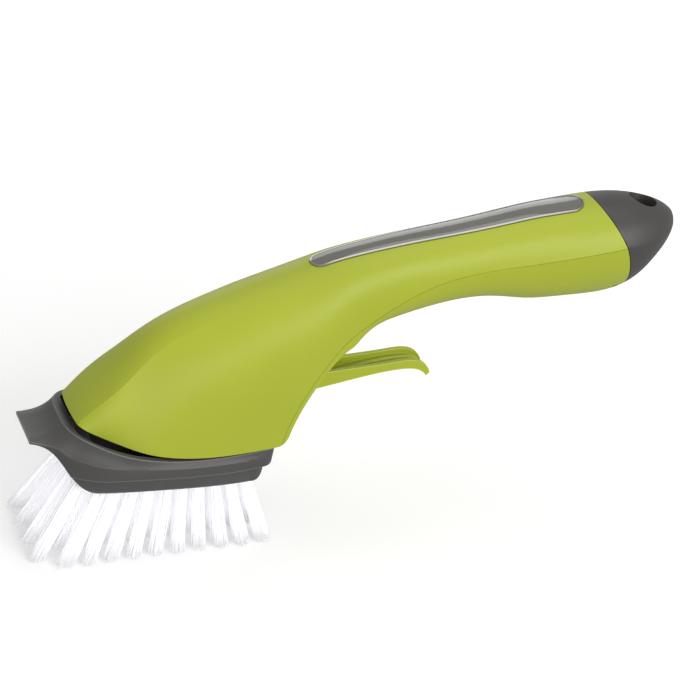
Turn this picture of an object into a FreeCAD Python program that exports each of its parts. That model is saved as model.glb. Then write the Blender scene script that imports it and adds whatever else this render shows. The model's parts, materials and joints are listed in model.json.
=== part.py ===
import FreeCAD, Part
import math
import os

# Dish wand: a soap-filled handle with a pump trigger under the neck, a hood over a pull-off brush head
# with a scraper lip, and a pull-off tail cap. Millimetres. +X runs to the tail, +Z is up, the part is
# symmetric about Y = 0. The origin is under the middle of the whole wand, at the bristle tips.

os.makedirs("parts", exist_ok=True)
V = FreeCAD.Vector

# Overall sizes
OVERALL_LENGTH = 257.0
OVERALL_HEIGHT = 128.5
HOOD_WIDTH = 44.6
CUT_OVERRUN = 6.0

# Shells
SHELL_WALL = 2.0
SHELL_GAP = 0.12
SEAM_GAP = 0.35
BOSS_RADIUS = 3.0
SNAP_WINDOW_RADIUS = 2.1

# Level window and its bezel
WINDOW_FRONT_RADIUS = 3.6
WINDOW_REAR_RADIUS = 5.6
BEZEL_WIDTH = 0.8
BEZEL_PROUD = 0.5
PANE_PROUD = 0.35
PANE_GAP = 0.1

# Soap tank
TANK_CLEARANCE = 0.5
TANK_WALL = 1.2
NECK_BORE = 7.5
NECK_WALL = 1.3
NECK_LENGTH = 9.0

# Tail cap
CAP_WALL = 2.2
PLUG_CLEARANCE = 0.3
PLUG_BORE = 4.6
SEAL_WIDTH = 2.2
SEAL_DEPTH = 1.3
SEAL_GAP = 0.05
HANG_HOLE_RADIUS = 5.8

# Head plate and its screws
PLATE_THICKNESS = 2.4
PLATE_SETBACK = 1.2
PLATE_CLEARANCE = 0.25
SCREW_RADIUS = 1.1
SCREW_GRIP = 8.0
SCREW_HEAD_RADIUS = 2.2
SCREW_HEAD_HEIGHT = 1.5
SCREW_FIT = 0.05

# Trigger and its pin
LEVER_REACH = 67.0
LEVER_WIDTH = 10.4
LEVER_WALL = 1.5
LEVER_FLOOR = 1.7
LEVER_RIB_WIDTH = 1.2
LEVER_RIB_HEIGHT = 1.0
LEVER_TRAVEL = 14.0
HUB_RADIUS = 4.2
PIN_RADIUS = 1.5
PIN_FIT = 0.05
ARM_RISE = 15.0
ARM_WIDTH = 7.0
ARM_THICKNESS = 5.0
NOSE_RADIUS = 3.0
NOSE_GAP = 0.15
LUG_WIDTH = 3.0
LUG_GAP = 0.35
LUG_RADIUS = 4.6
SLOT_CLEARANCE = 0.8

# Pump
PUMP_BORE = 6.0
PUMP_WALL = 2.0
PUMP_STROKE_ROOM = 4.4
PISTON_FIT = 0.08
PISTON_LENGTH = 6.0
ROD_RADIUS = 2.4
ROD_FIT = 0.3
ROD_FLANGE_RADIUS = 5.4
ROD_FLANGE_THICKNESS = 2.0
PUMP_CAP_THICKNESS = 2.0
PUMP_FOOT_LENGTH = 5.0
PUMP_FOOT_WIDTH = 13.0
SPRING_LENGTH = 13.6
SPRING_RADIUS = 4.1
SPRING_WIRE = 0.8
SPRING_TURNS = 5
QUARTER_TURN = 90.0
SPOUT_RADIUS = 2.2
SPOUT_BORE = 1.4
SPOUT_LENGTH = 4.0
TUBE_WALL = 0.9
TUBE_FIT = 0.05
TUBE_BEND = 3.6
VALVE_LENGTH = 3.6
NOZZLE_FLANGE = 2.0
NOZZLE_STEM = 2.6
NOZZLE_REACH = 4.0

# Brush head
TRAY_WIDTH = 48.8
TRAY_WALL = 3.2
TRAY_FLOOR = 6.0
TRAY_SHELF = 2.4
TRAY_DRAFT = 1.2
TRAY_LAND = 2.3
FLARE_ARC = (180, 230, 280)
FLARE_SECTIONS = 49
LIP_WIDTH = 19.8
LIP_CORNER = 1.4
POST_LENGTH = 3.2
POST_WIDTH = 12.0
POST_CLEARANCE = 0.3
POST_REACH = 6.0
TUFT_BASE_RADIUS = 1.75
TUFT_TIP_RADIUS = 2.5
TUFT_PITCH = 6.3
TUFT_SPREAD = 7.4
TUFT_HOLE_DEPTH = 4.0
TUFT_HOLE_FIT = 0.08
ANCHOR_RADIUS = 0.35
SOAP_HOLE_RADIUS = 1.1

# Body outline. Each row is a cross-section: its place along the length, then as shares of the height and
# of the hood's width the crest, shoulder (out, up), side end (out, up) and belly.
BODY_SHARES = [
    (0.047, 0.365, 0.235, 0.352, 0.255, 0.180, 0.140),
    (0.0745, 0.460, 0.245, 0.447, 0.285, 0.260, 0.225),
    (0.087, 0.487, 0.253, 0.473, 0.310, 0.290, 0.258),
    (0.124, 0.562, 0.262, 0.539, 0.405, 0.296, 0.262),
    (0.167, 0.648, 0.215, 0.620, 0.487, 0.288, 0.255),
    (0.210, 0.705, 0.195, 0.681, 0.500, 0.275, 0.242),
    (0.264, 0.750, 0.200, 0.728, 0.491, 0.265, 0.232),
    (0.336, 0.800, 0.209, 0.778, 0.464, 0.272, 0.240),
    (0.412, 0.850, 0.220, 0.825, 0.430, 0.380, 0.320),
    (0.482, 0.888, 0.222, 0.862, 0.378, 0.690, 0.620),
    (0.536, 0.908, 0.224, 0.881, 0.351, 0.765, 0.668),
    (0.598, 0.927, 0.226, 0.898, 0.341, 0.817, 0.691),
    (0.660, 0.945, 0.231, 0.916, 0.350, 0.840, 0.708),
    (0.734, 0.971, 0.242, 0.941, 0.379, 0.860, 0.695),
    (0.812, 0.990, 0.254, 0.961, 0.413, 0.881, 0.685),
    (0.878, 1.000, 0.260, 0.972, 0.426, 0.899, 0.689),
    (0.917, 0.998, 0.250, 0.971, 0.399, 0.901, 0.706),
    (0.952, 0.987, 0.215, 0.963, 0.336, 0.903, 0.762),
    (0.977, 0.972, 0.157, 0.956, 0.247, 0.908, 0.826),
    (0.992, 0.956, 0.100, 0.946, 0.157, 0.917, 0.874),
    (1.000, 0.942, 0.034, 0.938, 0.053, 0.932, 0.919),
]
# Turn at the shoulder and steepness at the side end of each section, in degrees.
BODY_ANGLES = [
    (30, 90), (31, 89), (32, 88), (29, 88), (17, 88), (8, 88), (2, 88), (0, 88), (0, 88), (0, 86), (0, 86),
    (0, 84), (0, 79), (0, 75), (0, 71), (0, 68), (0, 68), (0, 68), (0, 68), (0, 68), (0, 68),
]
BODY_CURVE_SHARE = 0.36
FIRST_HANDLE_ROW = 6
SHELL_ROWS = 18

# Side-view lines of the body, as shares of the length and the height.
RIM_SHARES = [(0.020, 0.484), (0.120, 0.383), (0.210, 0.335), (0.300, 0.3215), (0.362, 0.3245)]
RIM_CORNER_SHARES = (0.376, 0.3265)
REAR_WALL_SHARES = [
    (0.380, 0.368), (0.397, 0.467), (0.424, 0.558), (0.459, 0.627), (0.497, 0.662), (0.545, 0.675),
]
REAR_WALL_END_SHARES = (0.660, 0.660)
PARTING_SHARES = [
    (0.366, 0.270), (0.375, 0.393), (0.402, 0.525), (0.440, 0.628), (0.510, 0.733),
    (0.598, 0.815), (0.734, 0.860), (0.878, 0.899), (0.960, 0.920),
]
SEAM_SHARES = [(0.850, 1.015), (0.888, 0.902), (0.920, 0.690)]

# Places along the length and up the height.
WINDOW_FRONT_SHARE = 0.425
WINDOW_REAR_SHARE = 0.814
TANK_FRONT_SHARE = 0.458
TANK_REAR_SHARE = 0.840
NECK_UP_SHARE = 0.840
CAP_SOLID_SHARE = 0.913
HANG_HOLE_SHARE = 0.945
SNAP_WINDOW_SHARES = (0.897, 0.247)
PIVOT_SHARES = (0.361, 0.451)
SPOUT_UP_SHARE = 0.690
PLATE_SCREW_SHARES = [(0.145, 0.200), (0.300, 0.310)]
POST_SHARES = (0.165, 0.320)

# Trigger outline from the pivot, as shares of its reach.
LEVER_TOP_SHARES = [
    (1.006, 0.004), (0.985, 0.048), (0.945, 0.082), (0.760, 0.098), (0.420, 0.080), (0.0, 0.062),
]
LEVER_BOTTOM_SHARES = [
    (0.0, -0.062), (0.263, -0.034), (0.613, 0.026), (0.820, 0.046), (0.930, 0.030), (0.985, -0.015),
]
LEVER_CHANNEL_SHARE = 0.330

# Brush tray outlines. Side views are shares of length and height, plan views of length and tray width.
TRAY_TOP_SHARES = [
    (0.0495, 0.418), (0.098, 0.387), (0.135, 0.362), (0.210, 0.327), (0.290, 0.316), (0.3625, 0.321),
]
LIP_UP_SHARE = 0.384
TRAY_CHIN_SHARES = [(0.001, 0.375), (0.039, 0.335), (0.060, 0.273), (0.076, 0.240), (0.098, 0.223)]
TRAY_HEEL_SHARES = [(0.336, 0.194), (0.349, 0.204), (0.354, 0.226)]
TRAY_TAIL_SHARE = 0.3625
TRAY_STEP_SHARES = [
    (0.020, 0.286), (0.066, 0.282), (0.130, 0.287), (0.158, 0.284),
    (0.235, 0.270), (0.306, 0.262), (0.370, 0.264),
]
TRAY_SIDE_SHARES = [
    (0.0214, 0.231), (0.0346, 0.264), (0.0467, 0.310), (0.0591, 0.357), (0.0778, 0.417), (0.1051, 0.476),
    (0.1342, 0.497), (0.1693, 0.500), (0.2082, 0.494), (0.2588, 0.476), (0.3132, 0.451), (0.342, 0.428),
]
TRAY_BACK_SHARES = (0.3625, 0.348)
BLOCK_SIDE_SHARES = [
    (0.025, 0.228), (0.039, 0.262), (0.070, 0.342), (0.109, 0.376),
    (0.202, 0.387), (0.290, 0.373), (0.331, 0.347),
]
BLOCK_BACK_SHARES = (0.354, 0.265)
# Flare round the tray from its ridge to its edge, front to rear: the ridge along and out, the edge along, out
# and up, then the hollow's radius, out and radius as shares of the tray's width.
TRAY_FLARE_SHARES = [
    (0.0502, 0.000, -0.0008, 0.000, 0.384, 0.332),
    (0.0506, 0.123, -0.0008, 0.143, 0.384, 0.330),
    (0.0537, 0.209, 0.0047, 0.230, 0.381, 0.320),
    (0.0595, 0.270, 0.0319, 0.279, 0.365, 0.280),
    (0.0708, 0.336, 0.0518, 0.346, 0.349, 0.240),
    (0.0875, 0.395, 0.0759, 0.418, 0.341, 0.220),
    (0.1089, 0.445, 0.1039, 0.480, 0.335, 0.200),
    (0.1342, 0.473, 0.1342, 0.498, 0.328, 0.180),
    (0.1693, 0.477, 0.1693, 0.500, 0.320, 0.150),
    (0.2082, 0.465, 0.2082, 0.494, 0.310, 0.130),
    (0.2588, 0.447, 0.2588, 0.476, 0.301, 0.123),
    (0.3132, 0.426, 0.3132, 0.451, 0.296, 0.120),
    (0.3521, 0.408, 0.3521, 0.428, 0.292, 0.119),
    (0.3910, 0.387, 0.3910, 0.406, 0.290, 0.118),
]
CAVITY_FRONT_SHARE = 0.066
WELL_FRONT_SHARE = 0.105
WELL_REAR_SHARE = 0.330

# Bristle field
TUFT_ROWS = 10
TUFT_COLUMNS = 5
TUFT_CENTRE_SHARE = 0.216
FAN_CENTRE_SHARE = 0.249
FAN_ALONG_SHARE = 1.38
FAN_ACROSS_SHARE = 1.50
CHIN_TUFTS = 4
CHIN_SHARE = 0.078


def along(share):
    return (share - 1 / 2) * OVERALL_LENGTH


def up(share):
    return share * OVERALL_HEIGHT


def out(share):
    return share * HOOD_WIDTH


def side_points(shares):
    return [V(along(a), 0, up(b)) for a, b in shares]


def spline(points):
    curve = Part.BSplineCurve()
    curve.interpolate(points)
    return curve.toShape()


def bezier(points):
    curve = Part.BezierCurve()
    curve.setPoles(points)
    return curve.toShape()


def lines(points):
    return [Part.makeLine(a, b) for a, b in zip(points, points[1:])]


def across(edges, half_width):
    """Extrude a closed side-view outline across Y."""
    face = Part.Face(Part.Wire(Part.__sortEdges__(edges)))
    face.translate(V(0, -half_width, 0))
    return face.extrude(V(0, 2 * half_width, 0))


def upright(edges, low, high):
    """Extrude a closed plan outline up Z."""
    face = Part.Face(Part.Wire(Part.__sortEdges__(edges)))
    face.translate(V(0, 0, low))
    return face.extrude(V(0, 0, high - low))


def rod(start, end, radius):
    axis = end - start
    return Part.makeCylinder(radius, axis.Length, start, axis)


def cone(start, end, start_radius, end_radius):
    axis = end - start
    return Part.makeCone(start_radius, end_radius, axis.Length, start, axis)


def block(low, high):
    size = high - low
    return Part.makeBox(size.x, size.y, size.z, low)


def single(shape):
    """The largest solid of a shape, which drops slivers left by a cut."""
    return max(shape.Solids, key=lambda solid: solid.Volume)


WIDE = HOOD_WIDTH
DEEP = -CUT_OVERRUN
PIVOT = V(along(PIVOT_SHARES[0]), 0, up(PIVOT_SHARES[1]))
PUMP_Z = PIVOT.z + ARM_RISE


def body_section(row, angles, inset):
    """One closed cross-section of the body, moved inwards by inset."""
    x = along(row[0])
    crest = up(row[1]) - inset
    belly = up(row[6]) + inset
    shoulder_y = out(row[2])
    shoulder_z = up(row[3])
    side_y = out(row[4]) - inset
    side_z = up(row[5])
    crease = math.radians(angles[0])
    steep = math.radians(angles[1])
    lean = 2 * math.atan2(up(row[1]) - shoulder_z, shoulder_y) + crease / 2
    shoulder_y -= inset * math.sin(lean)
    shoulder_z -= inset * math.cos(lean)
    turn = 2 * math.atan2(crest - shoulder_z, shoulder_y)
    top_pull = (crest - shoulder_z) / math.sin(turn) * 4 / 3
    start = turn + crease
    chord = math.hypot(side_y - shoulder_y, shoulder_z - side_z)
    pull = chord * BODY_CURVE_SHARE
    sag = (side_z - belly) * 4 / 3

    def edge(poles):
        return bezier([V(x, y, z) for y, z in poles])

    top = edge([
        (-shoulder_y, shoulder_z),
        (-shoulder_y + top_pull * math.cos(turn), shoulder_z + top_pull * math.sin(turn)),
        (shoulder_y - top_pull * math.cos(turn), shoulder_z + top_pull * math.sin(turn)),
        (shoulder_y, shoulder_z),
    ])
    side = [
        (shoulder_y, shoulder_z),
        (shoulder_y + pull * math.cos(start), shoulder_z - pull * math.sin(start)),
        (side_y - pull * math.cos(steep), side_z + pull * math.sin(steep)),
        (side_y, side_z),
    ]
    bottom = edge([(side_y, side_z), (side_y, side_z - sag), (-side_y, side_z - sag), (-side_y, side_z)])
    mirrored = [(-y, z) for y, z in reversed(side)]
    return Part.Wire([top, edge(side), bottom, edge(mirrored)])


def body_loft(inset, first=0, last=len(BODY_SHARES)):
    rows = zip(BODY_SHARES[first:last], BODY_ANGLES[first:last])
    return Part.makeLoft([body_section(row, angles, inset) for row, angles in rows], True, False)


def below_rim():
    """Everything under the hood's mouth and behind the hood's rear wall."""
    rim = side_points(RIM_SHARES)
    wall = side_points(REAR_WALL_SHARES)
    end = side_points([REAR_WALL_END_SHARES])[0]
    corner = bezier([rim[-1], side_points([RIM_CORNER_SHARES])[0], wall[0]])
    corners = [wall[-1], end, V(end.x, 0, DEEP), V(rim[0].x, 0, DEEP), rim[0]]
    return across([spline(rim), corner, spline(wall)] + lines(corners), WIDE)


def behind_wall(inset):
    """Everything behind the hood's rear wall, moved inwards by inset."""
    shift = V(-inset, 0, inset * 2 / 3)
    wall = [p + shift for p in side_points(REAR_WALL_SHARES)]
    end = side_points([REAR_WALL_END_SHARES])[0]
    corners = [wall[-1], end + shift, V(end.x, 0, DEEP), V(wall[0].x, 0, DEEP), wall[0]]
    return across([spline(wall)] + lines(corners), WIDE)


def behind_seam(gap):
    """Everything on the cap's side of the tail seam."""
    shift = V(gap, 0, 0)
    top, middle, bottom = [p + shift for p in side_points(SEAM_SHARES)]
    rear = along(1) + CUT_OVERRUN
    high = up(1) + CUT_OVERRUN
    corners = [bottom, V(bottom.x, 0, DEEP), V(rear, 0, DEEP), V(rear, 0, high), V(top.x, 0, high), top]
    return across([Part.Arc(top, middle, bottom).toShape()] + lines(corners), WIDE)


def under_parting(gap):
    """Everything on the lower shell's side of the parting line."""
    shift = V(gap, 0, -gap)
    line = [p + shift for p in side_points(PARTING_SHARES)]
    corners = [line[-1], V(line[-1].x, 0, DEEP), V(line[0].x, 0, DEEP), line[0]]
    return across([spline(line)] + lines(corners), WIDE)


def window_prism(margin):
    """The window's tapered capsule, grown by margin, as an upright prism."""
    front_x = along(WINDOW_FRONT_SHARE)
    rear_x = along(WINDOW_REAR_SHARE)
    front_radius = WINDOW_FRONT_RADIUS + margin
    rear_radius = WINDOW_REAR_RADIUS + margin
    lean = math.asin((rear_radius - front_radius) / (rear_x - front_x))
    dx = math.sin(lean)
    dy = math.cos(lean)
    front = [V(front_x - dx * front_radius, s * dy * front_radius, 0) for s in (1, -1)]
    rear = [V(rear_x - dx * rear_radius, s * dy * rear_radius, 0) for s in (1, -1)]
    edges = [
        Part.Arc(front[0], V(front_x - front_radius, 0, 0), front[1]).toShape(),
        Part.Arc(rear[0], V(rear_x + rear_radius, 0, 0), rear[1]).toShape(),
        Part.makeLine(front[0], rear[0]),
        Part.makeLine(front[1], rear[1]),
    ]
    return upright(edges, up(SPOUT_UP_SHARE), up(1) + CUT_OVERRUN)


def line_height(x, shares):
    """Height of a side-view line at x."""
    edge = spline(side_points(shares))
    cutter = Part.makeLine(V(x, 0, DEEP), V(x, 0, up(1)))
    return edge.distToShape(cutter)[1][0][0].z


def plate_top(x):
    return line_height(x, RIM_SHARES) + PLATE_SETBACK + PLATE_THICKNESS


def screw(x, y, grip):
    """A pan-head screw driven upwards through the head plate."""
    seat = plate_top(x) - PLATE_THICKNESS
    head = rod(V(x, y, seat - SCREW_HEAD_HEIGHT), V(x, y, seat), SCREW_HEAD_RADIUS)
    lower_edges = [e for e in head.Edges if e.BoundBox.ZMax < seat - SCREW_FIT]
    head = head.makeFillet(SCREW_HEAD_HEIGHT / 2, lower_edges[:1])
    return head.fuse(rod(V(x, y, seat), V(x, y, seat + PLATE_THICKNESS + grip), SCREW_RADIUS - SCREW_FIT))


def mirror_places(shares):
    return [(along(a), s * out(b)) for a, b in shares for s in (1, -1)]


def build_shells():
    outer = body_loft(0).cut(below_rim()).cut(behind_seam(0))
    cavity = body_loft(SHELL_WALL, 0, SHELL_ROWS).cut(behind_wall(SHELL_WALL))
    shell = outer.cut(cavity)
    rear_wall = body_loft(SHELL_WALL + SHELL_GAP, 0, SHELL_ROWS).common(behind_wall(SHELL_WALL))
    rear_room = body_loft(SHELL_WALL, 0, SHELL_ROWS).common(behind_wall(SHELL_WALL))
    upper = single(shell.cut(under_parting(0)).cut(rear_room))
    lower = single(shell.common(under_parting(SHELL_GAP)).fuse(shell.common(rear_wall)))
    upper = upper.cut(window_prism(BEZEL_WIDTH))
    backing = body_loft(SHELL_WALL / 2, 0, SHELL_ROWS)
    for x, y in mirror_places(PLATE_SCREW_SHARES):
        seat = plate_top(x)
        boss = rod(V(x, y, seat), V(x, y, up(1)), BOSS_RADIUS).common(backing)
        upper = upper.fuse(single(boss))
        upper = upper.cut(rod(V(x, y, seat - CUT_OVERRUN), V(x, y, seat + SCREW_GRIP), SCREW_RADIUS))
    slot_low = PIVOT.z - HUB_RADIUS - SLOT_CLEARANCE
    wall_reach = along(REAR_WALL_SHARES[1][0]) - PIVOT.x
    lever_rise = LEVER_REACH * LEVER_TOP_SHARES[3][1] + wall_reach * math.sin(math.radians(LEVER_TRAVEL))
    slot_high = PIVOT.z + lever_rise + SLOT_CLEARANCE
    half = LEVER_WIDTH / 2 + SLOT_CLEARANCE
    slot = block(V(PIVOT.x, -half, slot_low), V(PIVOT.x + LEVER_REACH, half, slot_high))
    lower = lower.cut(slot)
    x = along(SNAP_WINDOW_SHARES[0])
    for s in (1, -1):
        y = s * out(SNAP_WINDOW_SHARES[1])
        lower = lower.cut(rod(V(x, y, 0), V(x, y, up(NECK_UP_SHARE)), SNAP_WINDOW_RADIUS))
    return single(upper.removeSplitter()), single(lower.removeSplitter())


def build_window():
    wall_band = body_loft(SHELL_WALL, FIRST_HANDLE_ROW, SHELL_ROWS)
    bezel = window_prism(BEZEL_WIDTH - PANE_GAP).cut(window_prism(0))
    bezel = bezel.common(body_loft(-BEZEL_PROUD, FIRST_HANDLE_ROW, SHELL_ROWS)).cut(wall_band)
    pane = window_prism(-PANE_GAP).common(body_loft(-PANE_PROUD, FIRST_HANDLE_ROW, SHELL_ROWS))
    return single(bezel), single(pane.cut(wall_band))


def build_tank():
    inset = SHELL_WALL + TANK_CLEARANCE
    front = along(TANK_FRONT_SHARE)
    rear = along(TANK_REAR_SHARE)
    slab = block(V(front, -WIDE, 0), V(rear, WIDE, up(1)))
    hollow = block(V(front + TANK_WALL, -WIDE, 0), V(rear - TANK_WALL, WIDE, up(1)))
    tank = body_loft(inset, FIRST_HANDLE_ROW, SHELL_ROWS).common(slab).cut(behind_wall(inset))
    core = body_loft(inset + TANK_WALL, FIRST_HANDLE_ROW, SHELL_ROWS).common(hollow)
    core = core.cut(behind_wall(inset + TANK_WALL))
    spout_z = up(SPOUT_UP_SHARE)
    neck_z = up(NECK_UP_SHARE)
    tank = tank.cut(core)
    mouth = V(rear + NECK_LENGTH, 0, neck_z)
    tank = tank.fuse(rod(V(rear - TANK_WALL, 0, neck_z), mouth, NECK_BORE + NECK_WALL))
    tank = tank.cut(rod(V(rear - NECK_LENGTH, 0, neck_z), mouth, NECK_BORE))
    outlet = V(front - SPOUT_LENGTH, 0, spout_z)
    tank = tank.fuse(rod(outlet, V(front + TANK_WALL, 0, spout_z), SPOUT_RADIUS))
    tank = tank.cut(rod(outlet, V(front + SPOUT_LENGTH, 0, spout_z), SPOUT_BORE))
    return single(tank)


def build_cap():
    neck_z = up(NECK_UP_SHARE)
    solid_x = along(CAP_SOLID_SHARE)
    plug_radius = NECK_BORE - PLUG_CLEARANCE
    plug_end = along(TANK_REAR_SHARE)
    hollow = block(V(along(0), -WIDE, 0), V(solid_x, WIDE, up(1)))
    hollow = hollow.common(body_loft(CAP_WALL, 0, SHELL_ROWS))
    cap = body_loft(0).common(behind_seam(SEAM_GAP)).cut(hollow)
    cap = single(cap).fuse(rod(V(plug_end, 0, neck_z), V(solid_x + CAP_WALL, 0, neck_z), plug_radius))
    cap = cap.cut(rod(V(plug_end, 0, neck_z), V(solid_x - CAP_WALL, 0, neck_z), PLUG_BORE))
    groove_x = plug_end + SEAL_WIDTH
    groove_end = V(groove_x + SEAL_WIDTH, 0, neck_z)
    ring = rod(V(groove_x, 0, neck_z), groove_end, NECK_BORE + NECK_WALL)
    cap = cap.cut(ring.cut(rod(V(groove_x, 0, neck_z), groove_end, plug_radius - SEAL_DEPTH)))
    hole_x = along(HANG_HOLE_SHARE)
    cap = cap.cut(rod(V(hole_x, 0, 0), V(hole_x, 0, up(1) + CUT_OVERRUN), HANG_HOLE_RADIUS))
    seal_x = groove_x + SEAL_GAP
    seal_end = groove_x + SEAL_WIDTH - SEAL_GAP
    seal = rod(V(seal_x, 0, neck_z), V(seal_end, 0, neck_z), NECK_BORE - SEAL_GAP)
    seal = seal.cut(rod(V(seal_x, 0, neck_z), V(seal_end, 0, neck_z), plug_radius - SEAL_DEPTH + SEAL_GAP))
    return single(cap), single(seal)


def spot_face(plate, x, y, radius):
    """Level the curved plate's top for a round foot."""
    seat = plate_top(x)
    return plate.cut(rod(V(x, y, seat), V(x, y, seat + CUT_OVERRUN), radius))


def build_plate():
    band_low = [p + V(0, 0, PLATE_SETBACK) for p in side_points(RIM_SHARES)]
    band_high = [p + V(0, 0, PLATE_THICKNESS) for p in band_low]
    edges = [spline(band_low), spline(band_high), Part.makeLine(band_low[0], band_high[0])]
    edges.append(Part.makeLine(band_low[-1], band_high[-1]))
    inset = SHELL_WALL + PLATE_CLEARANCE
    plate = across(edges, WIDE).common(body_loft(inset, 0, SHELL_ROWS))
    seat = plate_top(PIVOT.x)
    for s in (1, -1):
        near = s * (LEVER_WIDTH / 2 + LUG_GAP)
        far = near + s * LUG_WIDTH
        lug = block(
            V(PIVOT.x - LUG_RADIUS, min(near, far), seat - PLATE_THICKNESS / 2),
            V(PIVOT.x + LUG_RADIUS, max(near, far), PIVOT.z),
        )
        lug = lug.fuse(rod(V(PIVOT.x, near, PIVOT.z), V(PIVOT.x, far, PIVOT.z), LUG_RADIUS))
        plate = plate.fuse(lug)
    plate = single(plate.cut(behind_wall(inset)))
    plate = plate.cut(rod(V(PIVOT.x, -WIDE, PIVOT.z), V(PIVOT.x, WIDE, PIVOT.z), PIN_RADIUS + PIN_FIT))
    for share in POST_SHARES:
        x = along(share)
        reach = V(POST_LENGTH / 2 + POST_CLEARANCE, POST_WIDTH / 2 + POST_CLEARANCE, CUT_OVERRUN)
        middle = V(x, 0, plate_top(x) - PLATE_THICKNESS / 2)
        plate = plate.cut(block(middle - reach, middle + reach))
    for x, y in mirror_places(PLATE_SCREW_SHARES):
        plate = spot_face(plate, x, y, BOSS_RADIUS + PLATE_CLEARANCE)
    foot_x = pump_foot_x()
    reach = V(PUMP_FOOT_LENGTH / 2, PUMP_FOOT_WIDTH / 2, 0) + V(PLATE_CLEARANCE, PLATE_CLEARANCE, 0)
    seat = plate_top(foot_x)
    plate = plate.cut(block(V(foot_x, 0, seat) - reach, V(foot_x, 0, seat + CUT_OVERRUN) + reach))
    for x, y in mirror_places(PLATE_SCREW_SHARES) + pump_screw_places():
        seat = plate_top(x)
        plate = plate.cut(rod(V(x, y, 0), V(x, y, seat), SCREW_RADIUS + SCREW_FIT))
        plate = plate.cut(rod(V(x, y, 0), V(x, y, seat - PLATE_THICKNESS), SCREW_HEAD_RADIUS + SCREW_FIT))
    spout_x = pump_spout_x()
    plate = spot_face(plate, spout_x, 0, NOZZLE_STEM + NOZZLE_FLANGE + PLATE_CLEARANCE)
    plate = plate.cut(rod(V(spout_x, 0, 0), V(spout_x, 0, plate_top(spout_x)), NOZZLE_STEM + TUBE_FIT))
    return single(plate.removeSplitter())


def rod_end():
    return PIVOT.x - NOSE_RADIUS - NOSE_GAP


def pump_rear():
    return rod_end() - ROD_FLANGE_THICKNESS - SPRING_LENGTH - PUMP_CAP_THICKNESS


def pump_front():
    return pump_rear() - PISTON_LENGTH - PUMP_STROKE_ROOM - PUMP_WALL - PUMP_CAP_THICKNESS


def pump_spout_x():
    return pump_front() + PUMP_WALL + SPOUT_RADIUS


def pump_foot_x():
    return pump_rear() - PUMP_FOOT_LENGTH / 2


def pump_screw_places():
    y = PUMP_FOOT_WIDTH / 2 - SCREW_HEAD_RADIUS
    return [(pump_foot_x(), y), (pump_foot_x(), -y)]


def build_pump():
    rear = pump_rear()
    front = pump_front()
    outer = PUMP_BORE + PUMP_WALL
    body = rod(V(front, 0, PUMP_Z), V(rear, 0, PUMP_Z), outer)
    foot_x = pump_foot_x()
    seat = plate_top(foot_x)
    half = V(PUMP_FOOT_LENGTH / 2, PUMP_FOOT_WIDTH / 2, 0)
    foot = block(V(foot_x, 0, seat) - half, V(foot_x, 0, PUMP_Z) + half)
    body = body.fuse(foot)
    spout_x = pump_spout_x()
    for s in (1, -1):
        end = PUMP_Z + s * (outer + SPOUT_LENGTH)
        body = body.fuse(rod(V(spout_x, 0, PUMP_Z), V(spout_x, 0, end), SPOUT_RADIUS))
        body = body.cut(rod(V(spout_x, 0, PUMP_Z), V(spout_x, 0, end), SPOUT_BORE))
    body = body.cut(rod(V(front + PUMP_WALL, 0, PUMP_Z), V(rear, 0, PUMP_Z), PUMP_BORE))
    for x, y in pump_screw_places():
        body = body.cut(rod(V(x, y, seat), V(x, y, seat + SCREW_GRIP), SCREW_RADIUS))
    cap = rod(V(rear, 0, PUMP_Z), V(rear + PUMP_CAP_THICKNESS, 0, PUMP_Z), outer)
    spigot = rod(V(rear - PUMP_CAP_THICKNESS, 0, PUMP_Z), V(rear, 0, PUMP_Z), PUMP_BORE - SCREW_FIT)
    cap = cap.fuse(spigot)
    cap_start = rear - PUMP_CAP_THICKNESS
    cap = cap.cut(rod(V(cap_start, 0, PUMP_Z), V(rear + PUMP_CAP_THICKNESS, 0, PUMP_Z), ROD_RADIUS + ROD_FIT))
    return single(body), single(cap)


def build_piston():
    head_end = pump_rear() - PUMP_CAP_THICKNESS - NOSE_GAP
    head_start = head_end - PISTON_LENGTH
    radius = PUMP_BORE - PISTON_FIT
    end = rod_end()
    piston = rod(V(head_start, 0, PUMP_Z), V(head_end, 0, PUMP_Z), radius)
    piston = piston.fuse(rod(V(head_end, 0, PUMP_Z), V(end, 0, PUMP_Z), ROD_RADIUS))
    flange_start = end - ROD_FLANGE_THICKNESS
    piston = piston.fuse(rod(V(flange_start, 0, PUMP_Z), V(end, 0, PUMP_Z), ROD_FLANGE_RADIUS))
    groove_start = (head_start + head_end - SEAL_WIDTH) / 2
    groove_end = groove_start + SEAL_WIDTH
    ring = rod(V(groove_start, 0, PUMP_Z), V(groove_end, 0, PUMP_Z), radius + CUT_OVERRUN)
    core = rod(V(groove_start, 0, PUMP_Z), V(groove_end, 0, PUMP_Z), radius - SEAL_DEPTH)
    piston = piston.cut(ring.cut(core))
    seal_start = groove_start + SEAL_GAP
    seal_end = groove_end - SEAL_GAP
    seal = rod(V(seal_start, 0, PUMP_Z), V(seal_end, 0, PUMP_Z), PUMP_BORE - SEAL_GAP)
    seal = seal.cut(rod(V(seal_start, 0, PUMP_Z), V(seal_end, 0, PUMP_Z), radius - SEAL_DEPTH + SEAL_GAP))
    return single(piston), single(seal)


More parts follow.
